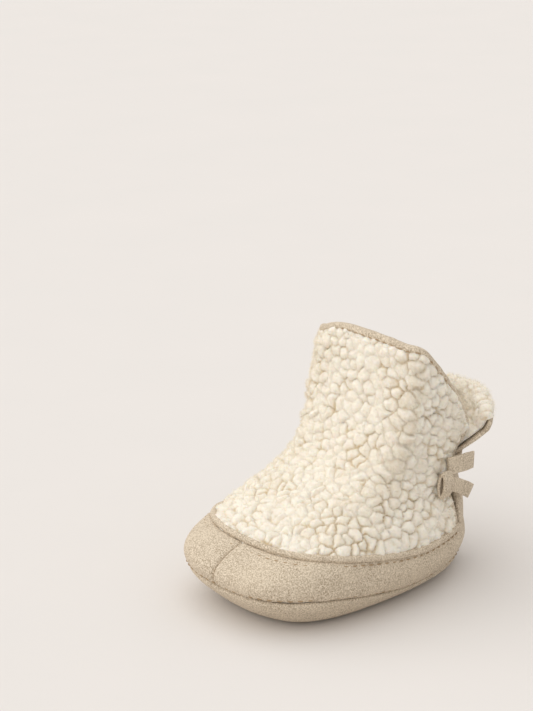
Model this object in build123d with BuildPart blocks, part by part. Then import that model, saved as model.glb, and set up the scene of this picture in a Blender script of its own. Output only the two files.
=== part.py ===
"""Soft baby bootie: suede sole and band, sherpa front panel, suede heel panel with a tie.

Frame: millimetres, +Z up, toe towards -Y, heel towards +Y, the foot's outer side towards +X.
The origin is under the middle of the whole bootie, on the surface that it stands on.
"""
import os
from math import cos, hypot, radians, sin

from build123d import *

# Overall sizes
LENGTH = 120.0              # toe tip to the flared top of the heel panel
WIDTH = 73.0                # across the band at the ball of the foot
HEIGHT = 97.0               # floor to the front of the topline

# Layers, from the outside in
PILE = 4.2                  # sherpa front panel
SUEDE = 1.8                 # band and outsole
HEEL_SUEDE = 1.6            # heel panel
LINING = 1.5                # cloth lining of the foot
SOLE_SUEDE = 1.6            # outsole under the foot
SOLE_FOAM = 4.0             # padding under the foot
FOOTBED = 1.4               # cloth over the padding

# Seams and edges, as heights above the floor
BAND_TOP_TOE = 27.5
BAND_TOP_HEEL = 20.0
SOLE_SEAM_TOE = 13.0
SOLE_SEAM_HEEL = 5.0
NOTCH_HEIGHT = 43.0         # where the tie pulls the front panel in
CORNER_HEIGHT = 55.0        # rear corner of the topline
HEEL_PANEL_TOP = 60.0
HEEL_PILE_TOP = 66.0        # the lining's pile stands above the heel panel

# Trim
PIPING = 1.2
BINDING = 2.6
BINDING_WRAP = 0.3          # how far the binding stands proud of the pile
SLIT = 1.8                  # open slit between front panel and heel panel
FOLD_CLEARANCE = 0.35       # heel panel above the band, and strap off the heel panel

# Tie
LACE_WIDTH = 5.5
LACE_THICKNESS = 1.4
TAIL_LENGTH = 15.0
KNOT_SIZE = (2.4, 5.0, 9.0)
TAIL_CLEARANCE = 0.8        # tails off the knot
TAIL_SPREAD = 3.4           # each tail's pivot above or below the knot's middle

# Stitches
THREAD = 0.6
STITCH = 2.2
STITCH_PITCH = 3.4
STITCH_MARGIN = 1.0         # row to the edge or seam that it holds

HALF_LENGTH = LENGTH / 2
HALF_WIDTH = WIDTH / 2
FLOOR_OF_LINING = SOLE_SUEDE + SOLE_FOAM
LINING_OUTSIDE = PILE
LINING_INSIDE = PILE + LINING
SIDE = 2 * LENGTH           # past the bootie in a side view

# The bootie's shape, one egg-shaped level a row, as shares of HEIGHT, HALF_LENGTH and HALF_WIDTH:
# height, front, back, half width, where it is widest
SHAPE = [
    (0.0000, -0.705, 0.735, 0.650, -0.235),
    (0.0165, -0.780, 0.790, 0.745, -0.245),
    (0.041, -0.845, 0.820, 0.835, -0.255),
    (0.124, -0.980, 0.840, 0.975, -0.270),
    (0.206, -1.000, 0.820, 1.000, -0.255),
    (0.289, -0.780, 0.805, 0.960, -0.170),
    (0.381, -0.460, 0.790, 0.815, -0.035),
    (0.438, -0.275, 0.780, 0.770, 0.033),
    (0.485, -0.135, 0.867, 0.740, 0.080),
    (0.588, -0.035, 0.990, 0.755, 0.115),
    (0.701, 0.025, 1.030, 0.780, 0.145),
    (0.825, 0.065, 1.030, 0.770, 0.195),
    (1.000, 0.105, 1.030, 0.740, 0.230),
]
FRONT_FULLNESS = 0.74       # Bezier handles as shares of the half axes: a broad, round toe
BACK_FULLNESS = 0.62
LEVEL_STEP = 3.0            # layers are ruled between outlines this far apart

os.makedirs("parts", exist_ok=True)


def read_off(column, height):
    """One column of SHAPE at a height, on a smooth curve through its rows."""
    share = min(max(height / HEIGHT, 0.0), 1.0)
    at = max(row for row in range(len(SHAPE) - 1) if SHAPE[row][0] <= share)
    low, high = SHAPE[at], SHAPE[at + 1]
    before, after = SHAPE[max(at - 1, 0)], SHAPE[min(at + 2, len(SHAPE) - 1)]
    gap = high[0] - low[0]
    leave = (high[column] - before[column]) / (high[0] - before[0]) * gap
    arrive = (after[column] - low[column]) / (after[0] - low[0]) * gap
    way = (share - low[0]) / gap
    rise = way * way * (3 - 2 * way)
    return (low[column] + (high[column] - low[column]) * rise
            + leave * way * (1 - way) ** 2 - arrive * way * way * (1 - way))


def level_at(height):
    """One level in millimetres at a height, with how fast its front moves back just there."""
    front, back, half, widest = [read_off(column, height) for column in (1, 2, 3, 4)]
    slope = (read_off(1, height + 1) - read_off(1, height - 1)) / 2 * HALF_LENGTH
    return (height, front * HALF_LENGTH, back * HALF_LENGTH, half * HALF_WIDTH,
            widest * HALF_LENGTH, slope)


def egg(level, inset):
    """The level's closed outline, drawn in by inset; more in front where the vamp slopes back."""
    height, front, back, half, widest, slope = level
    front = front + inset * min(hypot(1, max(slope, 0)), 1.6)
    back = back - inset
    half = half - inset
    nose = widest + (front - widest) * FRONT_FULLNESS
    tail = widest + (back - widest) * BACK_FULLNESS
    with BuildSketch(Plane.XY.offset(height)) as outline:
        with BuildLine():
            Bezier((half, widest), (half, nose), (half * FRONT_FULLNESS, front), (0, front))
            Bezier((0, front), (-half * FRONT_FULLNESS, front), (-half, nose), (-half, widest))
            Bezier((-half, widest), (-half, tail), (-half * BACK_FULLNESS, back), (0, back))
            Bezier((0, back), (half * BACK_FULLNESS, back), (half, tail), (half, widest))
        make_face()
    return outline.sketch


def levels(inset):
    """The outlines drawn in by inset, from the floor or the outsole's top to over the topline."""
    heights = [SOLE_SUEDE] if inset > 0 else [0.0, SOLE_SUEDE]
    while heights[-1] < HEIGHT + BINDING:
        heights.append(LEVEL_STEP * int(heights[-1] / LEVEL_STEP + 1))
    return [egg(level_at(height), inset) for height in heights]


SEAM_RISE_START = 0.205 * HALF_LENGTH   # the seam lines are level behind this place
SEAM_RISE_END = -0.795 * HALF_LENGTH    # and level again ahead of this one


def seam_height(y, toe_height, heel_height):
    """The height of a seam line that rises smoothly from the heel to the toe."""
    share = (SEAM_RISE_START - y) / (SEAM_RISE_START - SEAM_RISE_END)
    share = min(max(share, 0), 1)
    return heel_height + (toe_height - heel_height) * share * share * (3 - 2 * share)


def under(toe_height, heel_height, lift=0.0):
    """Side view: everything under a seam line, raised by lift."""
    span = SEAM_RISE_START - SEAM_RISE_END
    places = [SEAM_RISE_END + span * step / 6 for step in range(7)]
    line = [(y, seam_height(y, toe_height, heel_height) + lift) for y in places]
    with BuildSketch(Plane.YZ) as area:
        with BuildLine():
            Line((-SIDE, line[0][1]), line[0])
            Spline(*line, tangents=[(1, 0), (1, 0)])
            Polyline(line[-1], (SIDE, line[-1][1]), (SIDE, -SIDE), (-SIDE, -SIDE), (-SIDE, line[0][1]))
        make_face()
    return area


SLIT_FOOT = (0.535 * HALF_LENGTH, BAND_TOP_HEEL)
SLIT_WAIST = (0.48 * HALF_LENGTH, (BAND_TOP_HEEL + NOTCH_HEIGHT) / 2)
NOTCH = (0.475 * HALF_LENGTH, NOTCH_HEIGHT)
LOBE = (0.585 * HALF_LENGTH, NOTCH_HEIGHT + 6)
CORNER = (0.685 * HALF_LENGTH, CORNER_HEIGHT)
TOPLINE_MIDDLE = (0.375 * HALF_LENGTH, CORNER_HEIGHT + 0.58 * (HEIGHT - CORNER_HEIGHT))
TOPLINE_FRONT = (0.105 * HALF_LENGTH, HEIGHT)


def ahead_of_slit(back_by=0.0):
    """Side view: everything ahead of the front panel's rear edge, moved back by back_by."""
    edge = [(y + back_by, z) for y, z in (SLIT_FOOT, SLIT_WAIST, NOTCH, LOBE, CORNER)]
    with BuildSketch(Plane.YZ) as area:
        with BuildLine():
            Line((edge[0][0], -SIDE), edge[0])
            Spline(*edge)
            Polyline(edge[-1], (edge[-1][0], SIDE), (-SIDE, SIDE), (-SIDE, -SIDE), (edge[0][0], -SIDE))
        make_face()
    return area


def front_area(margin=0.0):
    """Side view: the front panel within its free edge, which moves forward and down by a margin."""
    edge = [(y - margin, z - margin / 4) for y, z in (SLIT_FOOT, SLIT_WAIST, NOTCH, LOBE, CORNER)]
    topline = [(y - margin, z - margin / 4) for y, z in (CORNER, TOPLINE_MIDDLE, TOPLINE_FRONT)]
    with BuildSketch(Plane.YZ) as area:
        with BuildLine():
            Line((edge[0][0], -SIDE), edge[0])
            Spline(*edge)
            ThreePointArc(*topline)
            Polyline(topline[-1], (-SIDE, topline[-1][1]), (-SIDE, -SIDE), (edge[0][0], -SIDE))
        make_face()
    return area


def heel_area(top):
    """Side view: the heel panel, behind the open slit and above the band, up to top."""
    bottom = BAND_TOP_HEEL + FOLD_CLEARANCE
    with BuildSketch(Plane.YZ) as area:
        with Locations((SIDE / 2, (bottom + top) / 2)):
            Rectangle(SIDE, top - bottom)
        add(ahead_of_slit(SLIT).sketch_local, mode=Mode.SUBTRACT)
    return area


def keep(area):
    """Keep what a side-view area covers of the part that is being built."""
    extrude(area.sketch, amount=SIDE, both=True, mode=Mode.INTERSECT)


def cut(area):
    """Take away what a side-view area covers."""
    extrude(area.sketch, amount=SIDE, both=True, mode=Mode.SUBTRACT)


# The outer form, which the layers and the stitches follow; it is not a piece itself
with BuildPart() as form:
    loft(levels(0), ruled=True)

# Outsole: suede under the foot, wrapped up to the sole seam
with BuildPart() as outsole:
    loft(levels(0), ruled=True)
    loft(levels(SUEDE), ruled=True, mode=Mode.SUBTRACT)
    keep(under(SOLE_SEAM_TOE, SOLE_SEAM_HEEL))
outsole.part.label = "outsole"

# Foam padding under the foot
with BuildPart() as sole_padding:
    loft(levels(SUEDE), ruled=True)
    split(bisect_by=Plane.XY.offset(FLOOR_OF_LINING), keep=Keep.BOTTOM)
sole_padding.part.label = "sole_padding"

# Footbed: lining cloth laid over the foam, inside the lining
with BuildPart() as footbed:
    loft(levels(LINING_INSIDE), ruled=True)
    split(bisect_by=Plane.XY.offset(FLOOR_OF_LINING), keep=Keep.TOP)
    split(bisect_by=Plane.XY.offset(FLOOR_OF_LINING + FOOTBED), keep=Keep.BOTTOM)
footbed.part.label = "footbed"


# Suede band in two halves, sewn together at the toe and at the heel
def band_half(side):
    """The band's half on the side of +1 or -1."""
    with BuildPart() as half:
        loft(levels(0), ruled=True)
        loft(levels(SUEDE), ruled=True, mode=Mode.SUBTRACT)
        extrude(under(BAND_TOP_TOE, BAND_TOP_HEEL).sketch, amount=side * SIDE, mode=Mode.INTERSECT)
        cut(under(SOLE_SEAM_TOE, SOLE_SEAM_HEEL))
    return half


side_band_right = band_half(1)
side_band_right.part.label = "side_band_right"
side_band_left = band_half(-1)
side_band_left.part.label = "side_band_left"

# Wadding behind the band
with BuildPart() as band_wadding:
    loft(levels(SUEDE), ruled=True)
    loft(levels(LINING_OUTSIDE), ruled=True, mode=Mode.SUBTRACT)
    split(bisect_by=Plane.XY.offset(FLOOR_OF_LINING), keep=Keep.TOP)
    keep(under(BAND_TOP_TOE, BAND_TOP_HEEL))
band_wadding.part.label = "band_wadding"

# Piping between the band and the front panel
with BuildPart() as vamp_piping:
    loft(levels(0.2), ruled=True)
    loft(levels(LINING_OUTSIDE), ruled=True, mode=Mode.SUBTRACT)
    keep(under(BAND_TOP_TOE, BAND_TOP_HEEL, PIPING))
    cut(under(BAND_TOP_TOE, BAND_TOP_HEEL))
    keep(ahead_of_slit())
vamp_piping.part.label = "vamp_piping"

# Sherpa front panel: vamp and wrap-round shaft in one
with BuildPart() as front_panel:
    loft(levels(0), ruled=True)
    loft(levels(LINING_OUTSIDE), ruled=True, mode=Mode.SUBTRACT)
    keep(front_area(BINDING))
    cut(under(BAND_TOP_TOE, BAND_TOP_HEEL, PIPING))
front_panel.part.label = "front_panel"

# Lining of the foot and of the front panel
with BuildPart() as foot_lining:
    loft(levels(LINING_OUTSIDE), ruled=True)
    loft(levels(LINING_INSIDE), ruled=True, mode=Mode.SUBTRACT)
    split(bisect_by=Plane.XY.offset(FLOOR_OF_LINING), keep=Keep.TOP)
    with BuildSketch(Plane.YZ) as lining_area:
        add(front_area(BINDING).sketch_local)
        add(under(BAND_TOP_TOE, BAND_TOP_HEEL).sketch_local)
    keep(lining_area)
foot_lining.part.label = "foot_lining"

# Binding folded over the front panel's free edge
with BuildPart() as topline_binding:
    loft(levels(-BINDING_WRAP), ruled=True)
    loft(levels(LINING_INSIDE + BINDING_WRAP), ruled=True, mode=Mode.SUBTRACT)
    keep(front_area())
    cut(front_area(BINDING))
    cut(under(BAND_TOP_TOE, BAND_TOP_HEEL, PIPING))
topline_binding.part.label = "topline_binding"

# Heel panel of suede, and its sherpa lining
with BuildPart() as back_panel:
    loft(levels(0), ruled=True)
    loft(levels(HEEL_SUEDE), ruled=True, mode=Mode.SUBTRACT)
    keep(heel_area(HEEL_PANEL_TOP))
back_panel.part.label = "back_panel"

with BuildPart() as back_lining:
    loft(levels(HEEL_SUEDE), ruled=True)
    loft(levels(LINING_INSIDE), ruled=True, mode=Mode.SUBTRACT)
    keep(heel_area(HEEL_PILE_TOP))
back_lining.part.label = "back_lining"

# Tie: the strap lies outside the heel panel and pulls it in at the notch
with BuildPart() as tie_strap:
    loft(levels(-FOLD_CLEARANCE - LACE_THICKNESS), ruled=True)
    loft(levels(-FOLD_CLEARANCE), ruled=True, mode=Mode.SUBTRACT)
    with BuildSketch(Plane.YZ) as strap_area:
        with Locations((SIDE / 2, NOTCH_HEIGHT)):
            Rectangle(SIDE, LACE_WIDTH)
        add(ahead_of_slit(SLIT).sketch_local, mode=Mode.SUBTRACT)
    keep(strap_area)
tie_strap.part.label = "tie_strap"


def skin(angle, height_at):
    """Where a level line drawn inwards meets the form, at an angle from the toe and a height that
    may depend on y. Positive angles are on the outer side of the foot."""
    height = height_at(-HALF_LENGTH * cos(radians(angle)))
    for _ in range(3):
        outside = Vector(SIDE * sin(radians(angle)), -SIDE * cos(radians(angle)), height)
        towards = Vector(-outside.X, -outside.Y, 0)
        point = form.part.find_intersection_points(Axis(outside, towards))[0][0]
        height = height_at(point.Y)
    return point


def side_skin(y, z, side, proud=0.0):
    """Where a line across the foot meets the form, moved outwards by proud."""
    across = Axis((side * SIDE, y, z), (-side, 0, 0))
    return form.part.find_intersection_points(across)[0][0] + Vector(side * proud, 0, 0)


def stitches(path):
    """Places for one stitch after another along a path of points close together."""
    places = []
    waiting = 0.0
    start = None
    for here, there in zip(path, path[1:]):
        waiting += (there - here).length
        if start is None and waiting >= STITCH_PITCH - STITCH:
            start = there
            waiting = 0.0
        elif start is not None and waiting >= STITCH:
            places.append(Plane((start + there) / 2, z_dir=there - start))
            start = None
            waiting = 0.0
    return places


# Knot: the lace comes through the front panel's edge here and is tied
KNOT_Y = NOTCH[0] - KNOT_SIZE[1] / 2 - BINDING_WRAP
KNOT_Z = NOTCH_HEIGHT - 1.5
KNOT_INNER_X = side_skin(KNOT_Y, KNOT_Z, 1).X

with BuildPart() as tie_knot:
    with Locations((KNOT_INNER_X + KNOT_SIZE[0] / 2, KNOT_Y, KNOT_Z)):
        Box(*KNOT_SIZE)
    fillet(tie_knot.edges(), radius=0.45 * KNOT_SIZE[0])
tie_knot.part.label = "tie_knot"


# Tails: the lace's two cut ends, flat beside the knot, which swing about it
def tie_tail(rise, lean):
    """A tail whose pivot is above the knot's middle by rise, leaning up from level by lean degrees."""
    pivot = (KNOT_INNER_X + KNOT_SIZE[0] + TAIL_CLEARANCE, KNOT_Y, KNOT_Z + rise)
    along = (0, cos(radians(lean)), sin(radians(lean)))
    with BuildPart() as tail:
        with BuildSketch(Plane(pivot, x_dir=along, z_dir=(1, 0, 0))):
            Circle(LACE_WIDTH / 2)
            with Locations((TAIL_LENGTH / 2, 0)):
                Rectangle(TAIL_LENGTH, LACE_WIDTH)
        extrude(amount=LACE_THICKNESS)
    return tail


tie_tail_upper = tie_tail(TAIL_SPREAD, 0)
tie_tail_upper.part.label = "tie_tail_upper"
tie_tail_lower = tie_tail(-TAIL_SPREAD, -32)
tie_tail_lower.part.label = "tie_tail_lower"


# Threads: each row of stitches lies half sunk in the cloth
def thread(path):
    """One row of stitches."""
    with BuildPart() as row:
        with Locations(*stitches(path)):
            Cylinder(THREAD / 2, STITCH)
    return row


def band_height(y):
    """The middle of the stitches under the band's top edge."""
    return seam_height(y, BAND_TOP_TOE, BAND_TOP_HEEL) - STITCH_MARGIN


def sole_height(y):
    """The middle of the stitches over the sole seam."""
    return seam_height(y, SOLE_SEAM_TOE, SOLE_SEAM_HEEL) + STITCH_MARGIN


def across_band(end):
    """A row up the band beside its end seam, at the toe (-1) or the heel (1)."""
    low = sole_height(end * HALF_LENGTH)
    high = band_height(end * HALF_LENGTH) - STITCH / 2
    heights = [low + (high - low) * step / 60 for step in range(61)]
    rays = [Axis((STITCH_MARGIN, end * SIDE, height), (0, -end, 0)) for height in heights]
    return [form.part.find_intersection_points(ray)[0][0] for ray in rays]


vamp_seam_thread = thread([skin(angle, band_height) for angle in range(-138, 139, 2)])
vamp_seam_thread.part.label = "vamp_seam_thread"
sole_seam_thread = thread([skin(angle, sole_height) for angle in range(-178, 179, 2)])
sole_seam_thread.part.label = "sole_seam_thread"
toe_seam_thread = thread(across_band(-1))
toe_seam_thread.part.label = "toe_seam_thread"
heel_seam_thread = thread(across_band(1))
heel_seam_thread.part.label = "heel_seam_thread"

with BuildLine() as topline:
    ThreePointArc(CORNER, TOPLINE_MIDDLE, TOPLINE_FRONT)


def binding_row(side):
    """A row along the binding's inner edge, on the side of +1 or -1, up to where the front turns."""
    path = []
    for step in range(40):
        edge = topline.line @ (step / 50)
        inward = (topline.line % (step / 50)).rotate(Axis.Z, 90)
        place = edge + inward * (BINDING - STITCH_MARGIN)
        path.append(side_skin(place.X, place.Y, side, BINDING_WRAP))
    return path


with BuildPart() as binding_thread:
    for side in (-1, 1):
        with Locations(*stitches(binding_row(side))):
            Cylinder(THREAD / 2, STITCH)
binding_thread.part.label = "binding_thread"

for piece in (outsole, sole_padding, footbed, side_band_left, side_band_right, band_wadding, vamp_piping,
              front_panel, foot_lining, topline_binding, back_panel, back_lining, tie_strap, tie_knot,
              tie_tail_upper, tie_tail_lower, toe_seam_thread, heel_seam_thread, sole_seam_thread,
              vamp_seam_thread, binding_thread):
    export_step(piece.part, f"parts/{piece.part.label}.step")
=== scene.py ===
"""Soft baby bootie: suede sole and band, sherpa front panel, and a suede heel panel with a tie.

It is built as the real one is sewn together, from the sole up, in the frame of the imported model:
metres, +Z up, toe towards -Y, the foot's outer side towards +X.
"""
import math

import bmesh
import bpy
import numpy as np
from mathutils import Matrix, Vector


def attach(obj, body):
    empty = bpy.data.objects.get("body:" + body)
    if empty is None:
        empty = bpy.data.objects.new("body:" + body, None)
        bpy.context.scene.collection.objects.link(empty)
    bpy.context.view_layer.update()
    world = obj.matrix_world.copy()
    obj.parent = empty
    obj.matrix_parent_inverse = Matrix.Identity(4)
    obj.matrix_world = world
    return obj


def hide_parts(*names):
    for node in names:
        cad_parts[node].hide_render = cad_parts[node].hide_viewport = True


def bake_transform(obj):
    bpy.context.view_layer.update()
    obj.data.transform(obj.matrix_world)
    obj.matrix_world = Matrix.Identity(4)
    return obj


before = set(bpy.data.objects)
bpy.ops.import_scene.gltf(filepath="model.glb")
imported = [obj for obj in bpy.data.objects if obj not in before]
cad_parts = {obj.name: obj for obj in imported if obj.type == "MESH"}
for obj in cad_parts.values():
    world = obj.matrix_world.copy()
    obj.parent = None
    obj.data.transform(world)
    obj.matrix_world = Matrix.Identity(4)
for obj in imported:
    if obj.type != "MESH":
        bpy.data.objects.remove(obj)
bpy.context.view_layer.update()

# ---------------------------------------------------------------------------------------------
# Camera: a long lens 750 mm away looks down on the outer side of the toe, as small shoes are
# usually shown.
MM = 0.001
camera = bpy.data.objects.new("camera", bpy.data.cameras.new("camera"))
bpy.context.scene.collection.objects.link(camera)
camera.location = (512.0 * MM, -458.9 * MM, 302.9 * MM)
camera.rotation_euler = [math.radians(turn) for turn in (90 - 17.57, 0, 50.50)]
camera.data.lens = 102.9
camera.data.clip_start, camera.data.clip_end = 0.05, 20
bpy.context.scene.camera = camera
bpy.context.scene.view_settings.view_transform = "Standard"

# ---------------------------------------------------------------------------------------------
# Floor and light: a sheet of warm white paper under one large soft lamp high on the left, in a
# pale room that fills the shadows.


def linear(colour):
    """The linear colour that shaders take, from an sRGB hex value."""
    channels = [int(colour[at:at + 2], 16) / 255 for at in (1, 3, 5)]
    return [c / 12.92 if c <= 0.04045 else ((c + 0.055) / 1.055) ** 2.4 for c in channels] + [1.0]


def add(material, kind, inputs=None, **settings):
    """Adds a node to a material: its settings, and its inputs, each set to a value or linked."""
    made = material.node_tree.nodes.new(kind)
    for name, value in settings.items():
        setattr(made, name, value)
    for name, value in (inputs or {}).items():
        if isinstance(value, bpy.types.NodeSocket):
            material.node_tree.links.new(value, made.inputs[name])
        else:
            made.inputs[name].default_value = value
    return made


def new_material(name):
    """An empty material, with where a point lies on its piece, in metres."""
    material = bpy.data.materials.new(name)
    material.use_nodes = True
    material.node_tree.nodes.clear()
    return material, add(material, "ShaderNodeTexCoord").outputs["Object"]


def coat(material, shader_inputs):
    """Ends a material with its one shader."""
    shader = add(material, "ShaderNodeBsdfPrincipled", shader_inputs)
    add(material, "ShaderNodeOutputMaterial", {"Surface": shader.outputs["BSDF"]})


# Uncoated paper: pressed and unglazed, so it is quite matt, with a faint cloud from its pulp
FLOOR_HALF = 3.0
matt_paper, place = new_material("matt_paper")
pulp = add(matt_paper, "ShaderNodeTexNoise", {"Vector": place, "Scale": 1 / (60 * MM), "Detail": 2})
paper_colour = add(matt_paper, "ShaderNodeMix", {
    0: pulp.outputs["Fac"], 6: linear("#DEDAD6"), 7: linear("#E1DCD8")}, data_type="RGBA")
coat(matt_paper, {"Base Color": paper_colour.outputs[2], "Roughness": 0.95,
                  "Specular IOR Level": 0.1})

floor_mesh = bpy.data.meshes.new("floor")
floor_mesh.from_pydata([(x * FLOOR_HALF, y * FLOOR_HALF, 0) for x, y in
                        ((-1, -1), (1, -1), (1, 1), (-1, 1))], [], [(0, 1, 2, 3)])
floor_mesh.materials.append(matt_paper)
floor = bpy.data.objects.new("floor", floor_mesh)
bpy.context.scene.collection.objects.link(floor)

lamp = bpy.data.objects.new("soft_lamp", bpy.data.lights.new("soft_lamp", "SUN"))
lamp.data.energy = 1.75
lamp.data.angle = math.radians(110)
lamp.data.color = linear("#FFFDFA")[:3]
lamp.rotation_euler = Vector((-0.40, -0.72, 1.05)).to_track_quat("Z", "Y").to_euler()
bpy.context.scene.collection.objects.link(lamp)

room = bpy.data.worlds.new("pale_room")
room.use_nodes = True
room.node_tree.nodes["Background"].inputs["Color"].default_value = linear("#F8F7F6")
room.node_tree.nodes["Background"].inputs["Strength"].default_value = 0.76
bpy.context.scene.world = room

# ---------------------------------------------------------------------------------------------
# Outsole: one piece of microfibre suede under the foot, wrapped up to the seam that joins it to
# the band. It is turned in at that seam, which leaves a soft round fold.

# The bootie's outer form, one level a row, in mm: height, front, back, half width, widest place
LEVELS = np.array([
    (0.0, -42.3, 44.1, 23.7, -14.1),
    (1.6, -46.8, 47.4, 27.2, -14.7),
    (4.0, -50.7, 49.2, 30.5, -15.3),
    (12.0, -58.8, 50.4, 35.6, -16.2),
    (20.0, -60.0, 49.2, 36.5, -15.3),
    (28.0, -46.8, 48.3, 35.0, -10.2),
    (37.0, -27.6, 47.4, 29.7, -2.1),
    (42.5, -16.5, 46.8, 28.1, 2.0),
    (47.0, -8.1, 52.0, 27.0, 4.8),
    (57.0, -2.1, 59.4, 27.6, 6.9),
    (68.0, 1.5, 61.8, 28.5, 8.7),
    (80.0, 3.9, 61.8, 28.1, 11.7),
    (97.0, 6.3, 61.8, 27.0, 13.8),
])
TOE_FULLNESS = 0.74
HEEL_FULLNESS = 0.62
BAND_TOP = (27.5, 20.0)         # at the toe and at the heel
SOLE_SEAM = (13.0, 5.0)


def read_off(column, height):
    """One column of LEVELS at heights, on a smooth curve through its rows."""
    height = np.clip(height, LEVELS[0, 0], LEVELS[-1, 0])
    at = np.clip(np.searchsorted(LEVELS[:, 0], height, "right") - 1, 0, len(LEVELS) - 2)
    low, high = LEVELS[at], LEVELS[at + 1]
    before, after = LEVELS[np.maximum(at - 1, 0)], LEVELS[np.minimum(at + 2, len(LEVELS) - 1)]
    gap = high[..., 0] - low[..., 0]
    leave = (high[..., column] - before[..., column]) / (high[..., 0] - before[..., 0]) * gap
    arrive = (after[..., column] - low[..., column]) / (after[..., 0] - low[..., 0]) * gap
    way = (height - low[..., 0]) / gap
    rise = way * way * (3 - 2 * way)
    return (low[..., column] + (high[..., column] - low[..., column]) * rise
            + leave * way * (1 - way) ** 2 - arrive * way * way * (1 - way))


def form(around, height):
    """Points on the outer form. around is 0 at the toe, 1 and -1 at the sides, 2 and -2 at the heel."""
    around, height = np.broadcast_arrays(np.asarray(around, float), np.asarray(height, float))
    front, back, half, widest = [read_off(column, height) for column in (1, 2, 3, 4)]
    nose = widest + (front - widest) * TOE_FULLNESS
    tail = widest + (back - widest) * HEEL_FULLNESS
    quarters = np.abs(around)
    to_heel = quarters > 1
    t = np.where(to_heel, quarters - 1, quarters)
    s = 1 - t
    x = np.where(to_heel, half * (s ** 3 + 3 * t * s * s + 3 * t * t * s * HEEL_FULLNESS),
                 half * (3 * t * s * s * TOE_FULLNESS + 3 * t * t * s + t ** 3))
    y = np.where(to_heel, widest * s ** 3 + 3 * tail * t * s * s + back * (3 * t * t * s + t ** 3),
                 front * (s ** 3 + 3 * t * s * s) + 3 * nose * t * t * s + widest * t ** 3)
    return np.stack([np.where(around < 0, -x, x), y, height], -1) * MM


def unit(vectors):
    """The same vectors, each of length one."""
    return vectors / np.maximum(np.linalg.norm(vectors, axis=-1, keepdims=True), 1e-12)


def facing(grid, ring=False):
    """Which way a grid of points faces, at each point; ring where its columns close on themselves."""
    if ring:
        wide = np.concatenate([grid[:, -1:], grid, grid[:, :1]], 1)
        along = np.gradient(wide, axis=1)[:, 1:-1]
    else:
        along = np.gradient(grid, axis=1)
    return unit(np.cross(along, np.gradient(grid, axis=0)))


def on_form(around, height, out):
    """Points moved out from the form by out, in mm."""
    step = 0.01
    across = form(around + step, height) - form(around - step, height)
    upward = form(around, height + 20 * step) - form(around, height - 20 * step)
    return form(around, height) + unit(np.cross(across, upward)) * np.asarray(out)[..., None] * MM


def seam_height(y, seam):
    """The height in mm of a seam that rises smoothly from heel to toe, at places y in metres."""
    share = np.clip((12.3 - y / MM) / 60.0, 0, 1)
    return seam[1] + (seam[0] - seam[1]) * share * share * (3 - 2 * share)


def along_seam(around, seam):
    """A seam's heights at places round the form."""
    height = np.full(np.shape(around), float(seam[1]))
    for _ in range(12):
        height = seam_height(form(around, height)[..., 1], seam)
    return height


def strip(around_at, low, high, rows):
    """Heights that divide columns of the form evenly, from low to high, with how far each point
    is from the lower end and from the upper one, in mm. around_at gives a column's course."""
    heights = low + (high - low) * np.linspace(0, 1, 201)[:, None]
    steps = np.linalg.norm(np.diff(form(around_at(heights), heights), axis=0), axis=-1) / MM
    length = np.vstack([np.zeros(len(low)), np.cumsum(steps, 0)])
    share = np.linspace(0, 1, rows)
    even = np.stack([np.interp(share * length[-1, at], length[:, at], heights[:, at])
                     for at in range(len(low))], 1)
    up = share[:, None] * length[-1]
    return even, up, length[-1] - up


def tucked(distance, depth, reach):
    """How far cloth is drawn in at a distance from its seam, in mm, where it is folded round."""
    near = np.clip(1 - distance / reach, 0, 1)
    return -depth * (1 - np.sqrt(1 - near ** 2))


def soft_noise(points, size, seed):
    """Smooth noise from -1 to 1 at points, with features of a size in mm."""
    table = np.random.default_rng(seed).uniform(-1, 1, (32, 32, 32))
    scaled = points / (size * MM) + 50.5
    cell = np.floor(scaled).astype(int)
    way = scaled - cell
    way = way * way * (3 - 2 * way)
    total = np.zeros(points.shape[:-1])
    for corner in np.ndindex(2, 2, 2):
        weight = np.prod(np.where(corner, way, 1 - way), axis=-1)
        x, y, z = np.moveaxis((cell + corner) % 32, -1, 0)
        total += weight * table[x, y, z]
    return total


def new_piece(name, points, faces, material, body, slot, replaced=(), from_fold=None):
    """A mesh piece of the bootie, smooth, facing outwards, and riding on a body. from_fold is
    how far each of its first points is from a fold of the pile, which its material reads."""
    mesh = bpy.data.meshes.new(name)
    mesh.from_pydata(np.asarray(points).reshape(-1, 3).tolist(), [], faces)
    if from_fold is not None:
        values = np.zeros(len(mesh.vertices), np.float32)
        values[:from_fold.size] = from_fold.ravel()
        mesh.attributes.new("fold_distance", "FLOAT", "POINT").data.foreach_set("value", values)
    work = bmesh.new()
    work.from_mesh(mesh)
    bmesh.ops.remove_doubles(work, verts=work.verts, dist=0.004 * MM)
    bmesh.ops.recalc_face_normals(work, faces=work.faces)
    work.to_mesh(mesh)
    work.free()
    mesh.shade_smooth()
    mesh.materials.append(material)
    piece = bpy.data.objects.new(name, mesh)
    bpy.context.scene.collection.objects.link(piece)
    if body:
        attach(piece, body)
    if replaced:
        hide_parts(*replaced)
    return piece


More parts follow.
